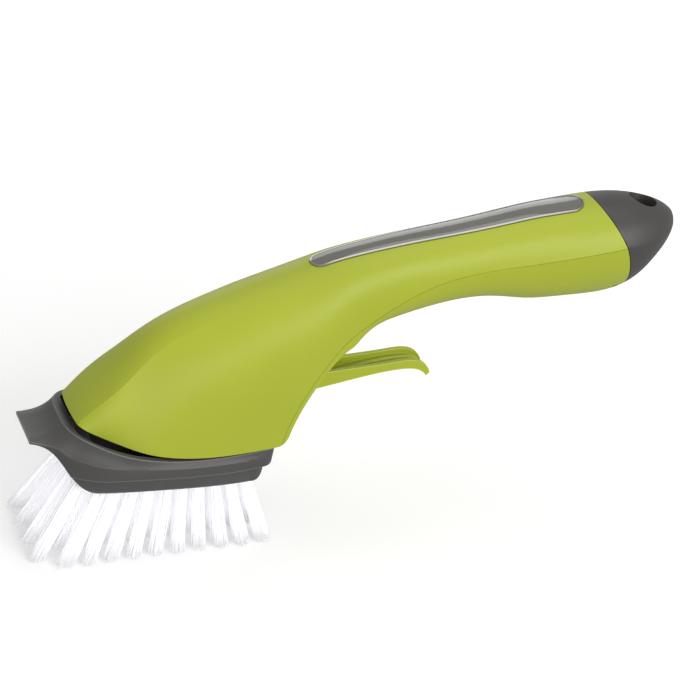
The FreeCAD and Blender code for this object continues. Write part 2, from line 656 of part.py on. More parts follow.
def build_spring():
    start = rod_end() - ROD_FLANGE_THICKNESS - SPRING_LENGTH
    wire = SPRING_WIRE / 2
    height = SPRING_LENGTH - SPRING_WIRE - 2 * SEAL_GAP
    helix = Part.makeHelix(height / SPRING_TURNS, height, SPRING_RADIUS)
    ring = Part.Wire(Part.makeCircle(wire, V(SPRING_RADIUS, 0, 0), V(0, 1, 0)))
    spring = Part.Wire(helix.Edges).makePipeShell([ring], True, True)
    spring.rotate(V(0, 0, 0), V(0, 1, 0), QUARTER_TURN)
    spring.translate(V(start + wire + SEAL_GAP, 0, PUMP_Z))
    return spring


def tube(path, radius, bore):
    """A bent tube along a wire of lines and arcs."""
    start = path.OrderedVertexes[0].Point
    direction = path.OrderedEdges[0].tangentAt(path.OrderedEdges[0].FirstParameter)
    skins = []
    for r in (radius, bore):
        ring = Part.Wire(Part.makeCircle(r, start, direction))
        skins.append(path.makePipeShell([ring], True, False))
    return skins[0].cut(skins[1])


def build_tubes():
    bore = SPOUT_RADIUS + TUBE_FIT
    radius = bore + TUBE_WALL
    spout_x = pump_spout_x()
    spout_z = up(SPOUT_UP_SHARE)
    front = along(TANK_FRONT_SHARE)
    pump_top = PUMP_Z + PUMP_BORE + PUMP_WALL
    start = V(front - SEAL_GAP, 0, spout_z)
    bend_start = V(spout_x + TUBE_BEND, 0, spout_z)
    bend_end = V(spout_x, 0, spout_z - TUBE_BEND)
    knee = TUBE_BEND * (1 - math.sqrt(1 / 2))
    middle = V(spout_x + knee, 0, spout_z - knee)
    end = V(spout_x, 0, pump_top + NOZZLE_FLANGE)
    path = Part.Wire([
        Part.makeLine(start, bend_start),
        Part.Arc(bend_start, middle, bend_end).toShape(),
        Part.makeLine(bend_end, end),
    ])
    suction = tube(path, radius, bore)
    low = V(spout_x, 0, plate_top(spout_x) + NOZZLE_FLANGE)
    high = V(spout_x, 0, PUMP_Z - PUMP_BORE - PUMP_WALL - NOZZLE_FLANGE)
    outlet = rod(low, high, radius).cut(rod(low, high, bore))
    return single(suction), single(outlet)


def build_nozzle():
    x = pump_spout_x()
    seat = plate_top(x)
    flange = V(x, 0, seat + NOZZLE_FLANGE)
    end = flange + V(0, 0, SPOUT_LENGTH)
    under = V(x, 0, seat - PLATE_THICKNESS)
    tip = under - V(0, 0, NOZZLE_REACH)
    nozzle = rod(V(x, 0, seat), flange, NOZZLE_STEM + NOZZLE_FLANGE)
    nozzle = nozzle.fuse(rod(flange, end, SPOUT_RADIUS))
    nozzle = nozzle.fuse(rod(under, V(x, 0, seat), NOZZLE_STEM))
    nozzle = nozzle.fuse(cone(tip, under, SPOUT_RADIUS, NOZZLE_STEM))
    return single(nozzle.cut(rod(tip, end, SPOUT_BORE)))


def build_valve(direction):
    """A silicone duckbill in one of the pump's two spouts."""
    x = pump_spout_x()
    start = PUMP_Z + direction * (PUMP_BORE + PUMP_WALL)
    end = start + direction * VALVE_LENGTH
    middle = (start + end) / 2
    radius = SPOUT_BORE - SCREW_FIT
    lip = radius / 2
    valve = rod(V(x, 0, start), V(x, 0, middle), radius)
    return single(valve.fuse(cone(V(x, 0, middle), V(x, 0, end), radius, lip)))


def build_trigger():
    top = [PIVOT + V(a * LEVER_REACH, 0, b * LEVER_REACH) for a, b in LEVER_TOP_SHARES]
    bottom = [PIVOT + V(a * LEVER_REACH, 0, b * LEVER_REACH) for a, b in LEVER_BOTTOM_SHARES]
    half = LEVER_WIDTH / 2
    edges = [spline(top), spline(bottom)] + lines([top[-1], bottom[0]]) + lines([bottom[-1], top[0]])
    lever = across(edges, half)
    start = PIVOT.x + LEVER_CHANNEL_SHARE * LEVER_REACH
    floor = [p + V(0, 0, LEVER_FLOOR) for p in bottom]
    end = V(floor[-1].x + CUT_OVERRUN, 0, floor[-1].z)
    high = PIVOT.z + HUB_RADIUS + LEVER_REACH / 2
    corners = [floor[-1], end, V(end.x, 0, high), V(floor[0].x, 0, high), floor[0]]
    channel = across([spline(floor)] + lines(corners), half - LEVER_WALL)
    channel = channel.common(block(V(start, -half, 0), V(end.x, half, high)))
    rib_top = [p + V(0, 0, LEVER_RIB_HEIGHT) for p in floor]
    rib_corners = [rib_top[-1], V(floor[-1].x, 0, 0), V(floor[0].x, 0, 0), rib_top[0]]
    rib = across([spline(rib_top)] + lines(rib_corners), LEVER_RIB_WIDTH / 2)
    lever = lever.cut(channel.cut(rib))
    lever = lever.fuse(rod(PIVOT - V(0, half, 0), PIVOT + V(0, half, 0), HUB_RADIUS))
    arm_half = V(ARM_THICKNESS / 2, ARM_WIDTH / 2, 0)
    arm = block(PIVOT - arm_half, PIVOT + V(0, 0, ARM_RISE) + arm_half)
    nose = PIVOT + V(0, 0, ARM_RISE)
    arm = arm.fuse(rod(nose - V(0, ARM_WIDTH / 2, 0), nose + V(0, ARM_WIDTH / 2, 0), NOSE_RADIUS))
    lever = lever.fuse(arm)
    lever = lever.cut(rod(PIVOT - V(0, WIDE, 0), PIVOT + V(0, WIDE, 0), PIN_RADIUS + PIN_FIT))
    pin_half = half + LUG_GAP + LUG_WIDTH
    pin = rod(PIVOT - V(0, pin_half, 0), PIVOT + V(0, pin_half, 0), PIN_RADIUS)
    return single(lever), single(pin)


def plan_outline(side_shares, back_shares, grow, z):
    """A closed plan outline at height z, straight at the scraper's edge and at the back."""
    edges = []
    fronts = []
    backs = []
    for side in (1, -1):
        lip = LIP_WIDTH / 2 + grow
        cut = LIP_CORNER * (1 - math.sqrt(1 / 2))
        front = along(0)
        points = [V(front + LIP_CORNER, side * lip, z)]
        points += [V(along(a), side * (b * TRAY_WIDTH + grow), z) for a, b in side_shares]
        back = V(along(back_shares[0]) + grow, side * (back_shares[1] * TRAY_WIDTH + grow), z)
        corner = V((points[-1].x + back.x * 2) / 3, (points[-1].y * 2 + back.y) / 3, z)
        fronts.append(V(front, side * (lip - LIP_CORNER), z))
        edges.append(Part.Arc(fronts[-1], V(front + cut, side * (lip - cut), z), points[0]).toShape())
        edges.append(spline(points))
        edges.append(Part.Arc(points[-1], corner, back).toShape())
        backs.append(back)
    edges.append(Part.makeLine(fronts[0], fronts[1]))
    edges.append(Part.makeLine(backs[0], backs[1]))
    return Part.Wire(Part.__sortEdges__(edges))


def drafted(side_shares, back_shares, low_grow, high_grow):
    """A block over a plan outline, with its walls leaning between two growths."""
    low = plan_outline(side_shares, back_shares, low_grow, up(TRAY_HEEL_SHARES[0][1]) - CUT_OVERRUN)
    high = plan_outline(side_shares, back_shares, high_grow, up(TRAY_TOP_SHARES[0][1]) + CUT_OVERRUN)
    return Part.makeLoft([low, high], True, True)


def region_above(curve_points, lift):
    """Everything above a side-view line that is raised by lift."""
    points = [p + V(0, 0, lift) for p in curve_points]
    high = up(1)
    corners = [points[-1], V(points[-1].x, 0, high), V(points[0].x, 0, high), points[0]]
    return across([spline(points)] + lines(corners), WIDE)


def flare_rows():
    """Ridge point, edge point and radius of each section of the flare, evenly spaced from side to side."""
    rows = []
    for ridge_x, ridge_y, edge_x, edge_y, edge_z, radius in TRAY_FLARE_SHARES:
        x = along(ridge_x)
        ridge = V(x, ridge_y * TRAY_WIDTH, line_height(x, TRAY_TOP_SHARES))
        edge = V(along(edge_x), edge_y * TRAY_WIDTH, up(edge_z))
        rows.append((ridge, edge, V(radius * TRAY_WIDTH, 0, 0)))
    rows = [[V(p.x, -p.y, p.z) for p in row] for row in rows[:0:-1]] + rows
    places = [0]
    for last, row in zip(rows, rows[1:]):
        places.append(places[-1] + (row[0] - last[0]).Length)
    curves = []
    for column in zip(*rows):
        curve = Part.BSplineCurve()
        curve.interpolate(Points=list(column), Parameters=places)
        curves.append(curve)
    even = [places[-1] * number / (FLARE_SECTIONS - 1) for number in range(FLARE_SECTIONS)]
    return [(curves[0].value(t), curves[1].value(t), curves[2].value(t).x) for t in even]


def tray_flare():
    """The hollow that sweeps round the tray under its ridge."""
    sections = []
    for ridge, edge, radius in flare_rows():
        chord = edge - ridge
        outwards = V(chord.x, chord.y, 0).normalize()
        run = chord.dot(outwards)
        lean = (V(0, 0, run) - outwards * chord.z).normalize()
        centre = (ridge + edge) / 2 + lean * math.sqrt(radius ** 2 - chord.Length ** 2 / 4)

        def ring_point(degrees):
            angle = math.radians(degrees)
            return centre + outwards * (radius * math.cos(angle)) + V(0, 0, radius * math.sin(angle))

        start, middle, end = [ring_point(degrees) for degrees in FLARE_ARC]
        roof = V(0, 0, centre.z + CUT_OVERRUN)
        far = centre + outwards * (radius + CUT_OVERRUN)
        high = [V(far.x, far.y, 0) + roof, V(start.x, start.y, 0) + roof]
        corners = [end, V(far.x, far.y, end.z)] + high + [start]
        sections.append(Part.Wire([Part.Arc(start, middle, end).toShape()] + lines(corners)))
    return Part.makeLoft(sections, True, False)


def rim_prism():
    """Everything inside the ridge's land, as an upright prism."""
    points = []
    for ridge, edge, radius in flare_rows():
        inwards = V(ridge.x - edge.x, ridge.y - edge.y, 0).normalize()
        points.append(V(ridge.x, ridge.y, 0) + inwards * TRAY_LAND)
    return upright([spline(points)] + lines([points[-1], points[0]]), 0, up(1))


def sole_point(x):
    """The point of the tray's sole at x, on the centre line."""
    chin = side_points(TRAY_CHIN_SHARES)
    heel = side_points(TRAY_HEEL_SHARES)
    if x < chin[-1].x:
        return V(x, 0, line_height(x, TRAY_CHIN_SHARES))
    share = (x - chin[-1].x) / (heel[0].x - chin[-1].x)
    return V(x, 0, chin[-1].z + share * (heel[0].z - chin[-1].z))


def tuft_places():
    """Root and tip of each tuft, with the group that it belongs to."""
    field = along(TUFT_CENTRE_SHARE)
    fan = along(FAN_CENTRE_SHARE)
    spots = []
    for row in range(TUFT_ROWS):
        x = field + (row - (TUFT_ROWS - 1) / 2) * TUFT_PITCH
        for column in range(TUFT_COLUMNS):
            group = "centre_tufts"
            if row == TUFT_ROWS - 1:
                group = "rear_tufts"
            elif column == 0:
                group = "right_tufts"
            elif column == TUFT_COLUMNS - 1:
                group = "left_tufts"
            spots.append((x, (column - (TUFT_COLUMNS - 1) / 2) * TUFT_SPREAD, group))
    for number in range(CHIN_TUFTS):
        spots.append((along(CHIN_SHARE), (number - (CHIN_TUFTS - 1) / 2) * TUFT_SPREAD, "front_tufts"))
    places = []
    for x, y, group in spots:
        tip = V(fan + (x - fan) * FAN_ALONG_SHARE, y * FAN_ACROSS_SHARE, 0)
        places.append((sole_point(x) + V(0, y, 0), tip, group))
    return places


def tuft_shapes(root, tip):
    """One tuft, the hole that it sits in and the wire anchor that holds it."""
    axis = (tip - root).normalize()
    base = root - axis * TUFT_HOLE_DEPTH
    end = tip + axis * CUT_OVERRUN
    floor = block(V(along(0) - WIDE, -WIDE * 2, DEEP * 3), V(along(1), WIDE * 2, 0))
    tuft = cone(base, end, TUFT_BASE_RADIUS, TUFT_TIP_RADIUS).cut(floor)
    deep = base - axis * (2 * ANCHOR_RADIUS + TUFT_HOLE_FIT)
    hole = rod(deep, root + axis * TUFT_HOLE_DEPTH, TUFT_BASE_RADIUS + TUFT_HOLE_FIT)
    hole = hole.fuse(cone(base, end, TUFT_BASE_RADIUS + TUFT_HOLE_FIT, TUFT_TIP_RADIUS + TUFT_HOLE_FIT))
    middle = base - axis * ANCHOR_RADIUS
    half = V(1, 0, 0).cross(axis).normalize() * TUFT_BASE_RADIUS
    return single(tuft), hole, rod(middle - half, middle + half, ANCHOR_RADIUS)


def build_head():
    top = side_points(TRAY_TOP_SHARES)
    chin = side_points(TRAY_CHIN_SHARES)
    heel = side_points(TRAY_HEEL_SHARES)
    tail = along(TRAY_TAIL_SHARE)
    front = along(0)
    corners = [heel[-1], V(tail, 0, heel[-1].z), top[-1]]
    lip = [chin[0], V(front, 0, up(LIP_UP_SHARE)), V(front, 0, top[0].z), top[0]]
    side_edges = [spline(top), spline(chin), Part.Arc(*heel).toShape()]
    side_edges += lines([chin[-1], heel[0]]) + lines(lip) + lines(corners)
    flange = drafted(TRAY_SIDE_SHARES, TRAY_BACK_SHARES, -TRAY_DRAFT, TRAY_DRAFT)
    foot = drafted(BLOCK_SIDE_SHARES, BLOCK_BACK_SHARES, 0, TRAY_DRAFT)
    tray = single(across(side_edges, WIDE).common(flange).cut(tray_flare()))
    step = side_points(TRAY_STEP_SHARES)
    under = region_above(step, 0)
    low = block(V(step[0].x, -WIDE, DEEP), V(step[-1].x, WIDE, up(1))).cut(under)
    tray = tray.cut(low.cut(foot))
    room = block(V(along(CAVITY_FRONT_SHARE), -WIDE, 0), V(tail - TRAY_WALL, WIDE, up(1)))
    cavity = rim_prism().common(room)
    cavity = cavity.common(region_above(step, TRAY_SHELF))
    well = drafted(BLOCK_SIDE_SHARES, BLOCK_BACK_SHARES, -TRAY_WALL, -TRAY_WALL)
    well = well.common(block(V(along(WELL_FRONT_SHARE), -WIDE, 0), V(along(WELL_REAR_SHARE), WIDE, up(1))))
    sole = [sole_point(along(WELL_FRONT_SHARE) - CUT_OVERRUN), sole_point(tail)]
    well = well.common(region_above(sole, TRAY_FLOOR))
    tray = tray.cut(cavity).cut(well)
    for share in POST_SHARES:
        x = along(share)
        half = V(POST_LENGTH / 2, POST_WIDTH / 2, 0)
        seat = sole_point(x).z + TRAY_FLOOR / 2
        post_top = plate_top(x) - PLATE_THICKNESS + POST_REACH
        tray = tray.fuse(block(V(x, 0, seat) - half, V(x, 0, post_top) + half))
    soap_x = along(TUFT_CENTRE_SHARE) + TUFT_PITCH
    soap_top = sole_point(soap_x) + V(0, 0, TRAY_FLOOR * 2)
    tray = tray.cut(rod(V(soap_x, 0, 0), soap_top, SOAP_HOLE_RADIUS))
    groups = {}
    holes = []
    anchors = []
    for root, tip, group in tuft_places():
        tuft, hole, anchor = tuft_shapes(root, tip)
        groups.setdefault(group, []).append(tuft)
        holes.append(hole)
        anchors.append(anchor)
    tray = tray.cut(holes)
    return single(tray), groups, anchors


upper_shell, lower_shell = build_shells()
window_bezel, level_window = build_window()
soap_tank = build_tank()
tail_cap, cap_seal = build_cap()
head_plate = build_plate()
pump_body, pump_cap = build_pump()
pump_piston, piston_seal = build_piston()
suction_tube, outlet_tube = build_tubes()
trigger, trigger_pin = build_trigger()
brush_tray, tuft_groups, tuft_anchors = build_head()
plate_screws = [screw(x, y, SCREW_GRIP / 2) for x, y in mirror_places(PLATE_SCREW_SHARES)]
pump_screws = [screw(x, y, SCREW_GRIP / 2) for x, y in pump_screw_places()]

nodes = {
    "upper_shell": upper_shell,
    "lower_shell": lower_shell,
    "window_bezel": window_bezel,
    "level_window": level_window,
    "soap_tank": soap_tank,
    "tail_cap": tail_cap,
    "cap_seal": cap_seal,
    "head_plate": head_plate,
    "plate_screws": Part.makeCompound(plate_screws),
    "pump_body": pump_body,
    "pump_cap": pump_cap,
    "pump_screws": Part.makeCompound(pump_screws),
    "pump_piston": pump_piston,
    "piston_seal": piston_seal,
    "return_spring": build_spring(),
    "inlet_valve": build_valve(1),
    "outlet_valve": build_valve(-1),
    "suction_tube": suction_tube,
    "outlet_tube": outlet_tube,
    "soap_nozzle": build_nozzle(),
    "trigger": trigger,
    "trigger_pin": trigger_pin,
    "brush_tray": brush_tray,
    "tuft_anchors": Part.makeCompound(tuft_anchors),
}
for name, tufts in tuft_groups.items():
    nodes[name] = Part.makeCompound(tufts)
for name, shape in nodes.items():
    print(name, len(shape.Solids), shape.isValid(), round(shape.Volume), shape.optimalBoundingBox())
    shape.exportStep("parts/" + name + ".step")
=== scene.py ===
import json
import math
import random

import bpy
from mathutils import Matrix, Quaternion, Vector


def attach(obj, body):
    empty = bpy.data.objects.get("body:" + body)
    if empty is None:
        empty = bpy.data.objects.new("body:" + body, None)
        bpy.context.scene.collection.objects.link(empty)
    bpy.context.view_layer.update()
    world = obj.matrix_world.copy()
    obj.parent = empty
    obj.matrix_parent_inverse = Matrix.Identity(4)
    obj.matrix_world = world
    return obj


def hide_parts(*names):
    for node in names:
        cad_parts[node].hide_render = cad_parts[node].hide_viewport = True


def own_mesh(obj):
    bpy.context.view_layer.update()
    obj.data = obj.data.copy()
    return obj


# Dish wand: satin moulded shells, a smoked level window in a plated rim, and nylon filaments in place of the
# plain tufts. Metres, in the part's own frame.

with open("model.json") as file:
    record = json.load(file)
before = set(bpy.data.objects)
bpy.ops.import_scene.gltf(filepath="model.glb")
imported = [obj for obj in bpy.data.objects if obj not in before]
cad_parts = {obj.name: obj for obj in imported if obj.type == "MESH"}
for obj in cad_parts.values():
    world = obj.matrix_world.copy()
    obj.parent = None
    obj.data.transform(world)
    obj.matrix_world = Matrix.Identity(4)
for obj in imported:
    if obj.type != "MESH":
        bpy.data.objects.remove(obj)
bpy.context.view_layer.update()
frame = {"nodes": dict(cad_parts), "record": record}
nodes = frame["nodes"]

MM = 0.001

# Camera
CAMERA_AT = Vector((-0.29176, -0.57002, 0.45377))
CAMERA_TO = Vector((-0.00342, 0.00616, 0.06970))
CAMERA_ROLL_DEG = 9.0
CAMERA_LENS = 103.2
SENSOR_WIDTH = 36.0

# Colours, in linear light
LIME = (0.404, 0.462, 0.032)
LIME_DEEP = (0.366, 0.421, 0.028)
CHARCOAL = (0.072, 0.070, 0.068)
CHARCOAL_DEEP = (0.060, 0.058, 0.056)
WARM_CHARCOAL = (0.056, 0.052, 0.048)
WARM_CHARCOAL_DEEP = (0.046, 0.043, 0.039)
SMOKE = (0.158, 0.155, 0.137)
SMOKE_DEEP = (0.112, 0.110, 0.096)
PLATED = (0.44, 0.44, 0.42)
PLATED_DEEP = (0.33, 0.33, 0.31)
NATURAL = (0.78, 0.78, 0.73)
NATURAL_DEEP = (0.68, 0.68, 0.63)
WHITE = (0.80, 0.80, 0.78)
WHITE_DEEP = (0.70, 0.70, 0.68)
CLEAR = (0.66, 0.69, 0.68)
CLEAR_DEEP = (0.55, 0.58, 0.57)
SILICONE = (0.030, 0.030, 0.031)
SILICONE_DEEP = (0.018, 0.018, 0.019)
STEEL = (0.52, 0.52, 0.51)
STEEL_DEEP = (0.40, 0.40, 0.39)
NYLON = (0.955, 0.955, 0.975)
NYLON_DEEP = (0.920, 0.922, 0.945)
FLOOR = (0.95, 0.95, 0.95)
PURE_WHITE = (1.0, 1.0, 1.0, 1)

# Clouded colour and fine grain of every surface
CLOUD_SCALE = 28.0
CLOUD_DETAIL = 3.0
DEEP_AT = 0.25
FULL_AT = 0.72
GRAIN_DETAIL = 2.0
GRAIN_HEIGHT = 0.05 * MM

# Rounded moulded edges, with a painted highlight paler than the faces. The rounded normal times the face's
# own is FLAT or more on a plain face, and BENT or less where an edge gets the painted highlight.
EDGE_WIDTH = 0.35 * MM
EDGE_SEGMENTS = 2
EDGE_ANGLE_DEG = 34.0
WELD_REACH = 0.01 * MM
HIGHLIGHT_WIDTH = 0.9 * MM
LEVER_HIGHLIGHT_WIDTH = 0.6 * MM
HIGHLIGHT_SAMPLES = 6
EDGE_HIGHLIGHT = (0.215, 0.213, 0.210)
LIME_EDGE_HIGHLIGHT = (0.640, 0.700, 0.150)
BENT = 0.92
FLAT = 0.985

# Bristle filaments
FILAMENTS_PER_TUFT = 72
FILAMENT_RADIUS = 0.21 * MM
FILAMENT_SIDES = 5
FILAMENT_RINGS = 5
FILAMENT_BOW = 0.5 * MM
ROOT_SPREAD = 1.72 * MM
TIP_SPREAD = 3.05 * MM
TIP_UNEVEN = 2.4 * MM
TIP_LIFT = 0.2 * MM
SPLAY_LEAST = 0.9
SPLAY_MOST = 1.08
SPOT_RADIUS_SLIP = 0.05
SPOT_ANGLE_SLIP = 0.3
TUFT_GROUPS = ("front_tufts", "right_tufts", "left_tufts", "centre_tufts", "rear_tufts")

# How the plain tufts' ends are found in their meshes
TIP_RING_HEIGHT = 0.01 * MM
ROOT_RING_DEPTH = 0.05 * MM
SAME_POINT_DIGITS = 6

# Floor and light: each softbox has its place, the point it faces, its width and height, and its watts
FLOOR_HALF = 9.0
FLOOR_GLOW = 0.16
WORLD_STRENGTH = 0.50
SOFTBOXES = {
    "key": ((0.7, -1.3, 0.9), (0, 0, 0.06), (1.2, 1.0), 15.2),
    "low": ((-0.5, -1.3, 0.25), (0, 0, 0.05), (1.0, 0.5), 4.7),
    "over": ((0.3, 0.2, 1.6), (0, 0, 0.06), (1.4, 1.0), 5.6),
    "rear": ((0.2, 1.5, 0.6), (0, 0, 0.06), (1.2, 0.8), 3.4),
}
BRISTLE_FILLS = {
    "near_fill": ((-0.45, -0.85, 0.15), (-0.09, 0, 0.01), (0.9, 0.3), 3.5),
    "far_fill": ((-0.2, 0.85, 0.15), (-0.09, 0, 0.01), (0.9, 0.3), 3.0),
}


def shader_of(mat):
    return mat.node_tree.nodes["Principled BSDF"]


def surface(
    name, colour, deep, roughness, rough_spread, grain, grain_depth, cloud=CLOUD_SCALE, sockets=None,
):
    """A moulded or metal surface: clouded colour, uneven gloss, a fine grain and any sockets set besides."""
    mat = bpy.data.materials.new(name)
    mat.use_nodes = True
    tree = mat.node_tree
    shader = shader_of(mat)
    place = tree.nodes.new("ShaderNodeTexCoord")
    clouds = tree.nodes.new("ShaderNodeTexNoise")
    clouds.inputs["Scale"].default_value = cloud
    clouds.inputs["Detail"].default_value = CLOUD_DETAIL
    tint = tree.nodes.new("ShaderNodeValToRGB")
    tint.color_ramp.elements[0].position = DEEP_AT
    tint.color_ramp.elements[0].color = (*deep, 1)
    tint.color_ramp.elements[1].position = FULL_AT
    tint.color_ramp.elements[1].color = (*colour, 1)
    gloss = tree.nodes.new("ShaderNodeMapRange")
    gloss.inputs["To Min"].default_value = roughness - rough_spread
    gloss.inputs["To Max"].default_value = roughness + rough_spread
    fine = tree.nodes.new("ShaderNodeTexNoise")
    fine.inputs["Scale"].default_value = grain
    fine.inputs["Detail"].default_value = GRAIN_DETAIL
    bump = tree.nodes.new("ShaderNodeBump")
    bump.inputs["Strength"].default_value = grain_depth
    bump.inputs["Distance"].default_value = GRAIN_HEIGHT
    link = tree.links.new
    link(place.outputs["Object"], clouds.inputs["Vector"])
    link(place.outputs["Object"], fine.inputs["Vector"])
    link(clouds.outputs["Fac"], tint.inputs["Fac"])
    link(clouds.outputs["Fac"], gloss.inputs["Value"])
    link(tint.outputs["Color"], shader.inputs["Base Color"])
    link(gloss.outputs["Result"], shader.inputs["Roughness"])
    link(fine.outputs["Fac"], bump.inputs["Height"])
    link(bump.outputs["Normal"], shader.inputs["Normal"])
    for socket, value in (sockets or {}).items():
        shader.inputs[socket].default_value = value
    return mat


def paint_edge_highlights(mat, colour, width):
    """Paler edges: a painted highlight where the rounded edges catch the light."""
    tree = mat.node_tree
    base = shader_of(mat).inputs["Base Color"]
    face_colour = base.links[0].from_socket
    rounded = tree.nodes.new("ShaderNodeBevel")
    rounded.samples = HIGHLIGHT_SAMPLES
    rounded.inputs["Radius"].default_value = width
    facing = tree.nodes.new("ShaderNodeNewGeometry")
    bend = tree.nodes.new("ShaderNodeVectorMath")
    bend.operation = "DOT_PRODUCT"
    share = tree.nodes.new("ShaderNodeMapRange")
    share.inputs["From Min"].default_value = BENT
    share.inputs["From Max"].default_value = FLAT
    share.inputs["To Min"].default_value = 1.0
    share.inputs["To Max"].default_value = 0.0
    paint = tree.nodes.new("ShaderNodeMix")
    paint.data_type = "RGBA"
    paint.inputs["B"].default_value = (*colour, 1)
    link = tree.links.new
    link(rounded.outputs["Normal"], bend.inputs[0])
    link(facing.outputs["Normal"], bend.inputs[1])
    link(bend.outputs["Value"], share.inputs["Value"])
    link(share.outputs["Result"], paint.inputs["Factor"])
    link(face_colour, paint.inputs["A"])
    link(paint.outputs["Result"], base)


# Materials
lime = surface(
    "lime_satin", LIME, LIME_DEEP, roughness=0.42, rough_spread=0.03, grain=2600.0, grain_depth=0.08,
    cloud=14.0, sockets={"Specular IOR Level": 0.36},
)
# The lever's lime gets a painted highlight along its rounded edges.
lever_lime = lime.copy()
lever_lime.name = "lever_lime"
paint_edge_highlights(lever_lime, LIME_EDGE_HIGHLIGHT, LEVER_HIGHLIGHT_WIDTH)
charcoal = surface(
    "charcoal_satin", CHARCOAL, CHARCOAL_DEEP, roughness=0.46, rough_spread=0.05, grain=2200.0,
    grain_depth=0.16,
)
# Painted highlight along the rounded edges of the charcoal mouldings.
paint_edge_highlights(charcoal, EDGE_HIGHLIGHT, HIGHLIGHT_WIDTH)
warm_charcoal = surface(
    "warm_charcoal", WARM_CHARCOAL, WARM_CHARCOAL_DEEP, roughness=0.42, rough_spread=0.05, grain=2200.0,
    grain_depth=0.14,
)
smoke = surface(
    "smoked_pane", SMOKE, SMOKE_DEEP, roughness=0.07, rough_spread=0.02, grain=1400.0, grain_depth=0.01,
    cloud=16.0, sockets={"Coat Weight": 0.6, "Coat Roughness": 0.03},
)
plated = surface(
    "plated_rim", PLATED, PLATED_DEEP, roughness=0.12, rough_spread=0.03, grain=1800.0, grain_depth=0.02,
    sockets={"Metallic": 1.0},
)
natural = surface(
    "natural_tank", NATURAL, NATURAL_DEEP, roughness=0.30, rough_spread=0.05, grain=1500.0, grain_depth=0.08,
)
white = surface(
    "white_moulding", WHITE, WHITE_DEEP, roughness=0.42, rough_spread=0.05, grain=2000.0, grain_depth=0.10,
)
clear = surface(
    "clear_tubing", CLEAR, CLEAR_DEEP, roughness=0.18, rough_spread=0.04, grain=1500.0, grain_depth=0.04,
    sockets={"Transmission Weight": 0.45},
)
silicone = surface(
    "dark_silicone", SILICONE, SILICONE_DEEP, roughness=0.55, rough_spread=0.06, grain=1600.0,
    grain_depth=0.12,
)
steel = surface(
    "plain_steel", STEEL, STEEL_DEEP, roughness=0.28, rough_spread=0.06, grain=3000.0, grain_depth=0.06,
    cloud=300.0, sockets={"Metallic": 1.0},
)
nylon = surface(
    "white_nylon", NYLON, NYLON_DEEP, roughness=0.42, rough_spread=0.06, grain=3200.0, grain_depth=0.05,
    cloud=420.0,
)
pale = surface(
    "pale_floor", FLOOR, FLOOR, roughness=0.6, rough_spread=0.02, grain=300.0, grain_depth=0.0,
    sockets={"Emission Color": PURE_WHITE, "Emission Strength": FLOOR_GLOW},
)

# Each node's material, from its slot in the record
LOOKS = {
    "lime_plastic": lime,
    "charcoal_plastic": charcoal,
    "smoked_window": smoke,
    "polished_trim": plated,
    "natural_plastic": natural,
    "white_plastic": white,
    "clear_tube": clear,
    "seal_rubber": silicone,
    "steel": steel,
    "nylon": nylon,
}
for subpart in frame["record"]["subparts"]:
    node = nodes[subpart["node"]]
    if not node.material_slots:
        node.data.materials.append(None)
    for slot in node.material_slots:
        slot.link = "OBJECT"
        slot.material = LOOKS[subpart["material_slot"]]
nodes["tail_cap"].material_slots[0].material = warm_charcoal
nodes["trigger"].material_slots[0].material = lever_lime


def soften(node_name, width):
    """Round the moulded edges of a piece."""
    weld = nodes[node_name].modifiers.new("weld", "WELD")
    weld.merge_threshold = WELD_REACH
    bevel = nodes[node_name].modifiers.new("edges", "BEVEL")
    bevel.width = width
    bevel.segments = EDGE_SEGMENTS
    bevel.limit_method = "ANGLE"
    bevel.angle_limit = math.radians(EDGE_ANGLE_DEG)
    bevel.harden_normals = True


for name in ("brush_tray", "tail_cap"):
    soften(name, EDGE_WIDTH)


def add_object(name, data):
    """A new object in the scene."""
    thing = bpy.data.objects.new(name, data)
    bpy.context.scene.collection.objects.link(thing)
    return thing


def islands(mesh):
    """The separate solids of a mesh, as lists of their corner points."""
    keys = {}
    owner = []
    for vertex in mesh.vertices:
        key = tuple(round(c, SAME_POINT_DIGITS) for c in vertex.co)
        owner.append(keys.setdefault(key, len(keys)))
    parent = list(range(len(keys)))

    def root(i):
        while parent[i] != i:
            parent[i] = parent[parent[i]]
            i = parent[i]
        return i

    for edge in mesh.edges:
        a, b = (root(owner[v]) for v in edge.vertices)
        parent[a] = b
    groups = {}
    for key, number in keys.items():
        groups.setdefault(root(number), []).append(Vector(key))
    return list(groups.values())


def middle(points):
    return sum(points, Vector()) / len(points)


def tuft_axis(points):
    """Root and tip centres of one plain tuft."""
    tip = middle([p for p in points if p.z < TIP_RING_HEIGHT])
    reach = max((p - tip).length for p in points)
    base = [p for p in points if (p - tip).length > reach - ROOT_RING_DEPTH]
    return middle(base), tip


def disc_spots(count, dice):
    """Even spots over a unit disc, each a little out of place."""
    golden = math.pi * (3 - math.sqrt(5))
    spots = []
    for i in range(count):
        radius = math.sqrt((i + 0.5) / count) + dice.uniform(-SPOT_RADIUS_SLIP, SPOT_RADIUS_SLIP)
        angle = i * golden + dice.uniform(-SPOT_ANGLE_SLIP, SPOT_ANGLE_SLIP)
        spots.append((max(radius, 0) * math.cos(angle), max(radius, 0) * math.sin(angle)))
    return spots


